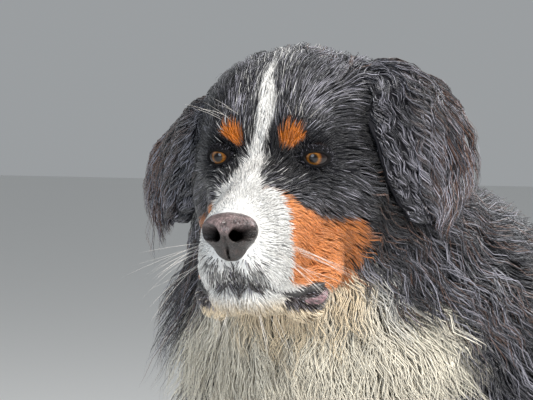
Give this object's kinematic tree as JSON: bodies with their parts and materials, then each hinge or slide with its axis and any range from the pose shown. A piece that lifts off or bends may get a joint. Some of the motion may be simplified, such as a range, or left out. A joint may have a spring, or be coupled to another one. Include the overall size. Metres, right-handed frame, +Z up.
{
  "type": "bernese mountain dog",
  "caption": "Life-size still model of a large long-coated dog that stands square, its head turned a little, with drop ears, a ruff, feathered legs and a bushy hanging tail.",
  "frame": {"origin": "on the floor, below the middle of the whole dog's bounding box", "axes": "+X to the dog's left, -Y forward towards its nose, +Z up"},
  "size_m": [0.3533, 1.1219, 0.8459],
  "materials": {
    "black_coat": "long glossy black hair",
    "white_coat": "long soft white hair",
    "rust_coat": "soft rust-brown hair",
    "nose_leather": "moist, finely pebbled",
    "eye": "wet and glossy"
  },
  "bodies": {
    "root": {"head": "black_coat", "nose": "nose_leather", "eye_left": "eye", "eye_right": "eye", "ear_left": "black_coat", "ear_right": "black_coat", "neck": "white_coat", "torso": "black_coat", "tail": "black_coat", "leg_front_left": "rust_coat", "leg_front_right": "rust_coat", "leg_hind_left": "rust_coat", "leg_hind_right": "rust_coat", "paw_front_left": "white_coat", "paw_front_right": "white_coat", "paw_hind_left": "white_coat", "paw_hind_right": "white_coat"}
  },
  "joints": []
}
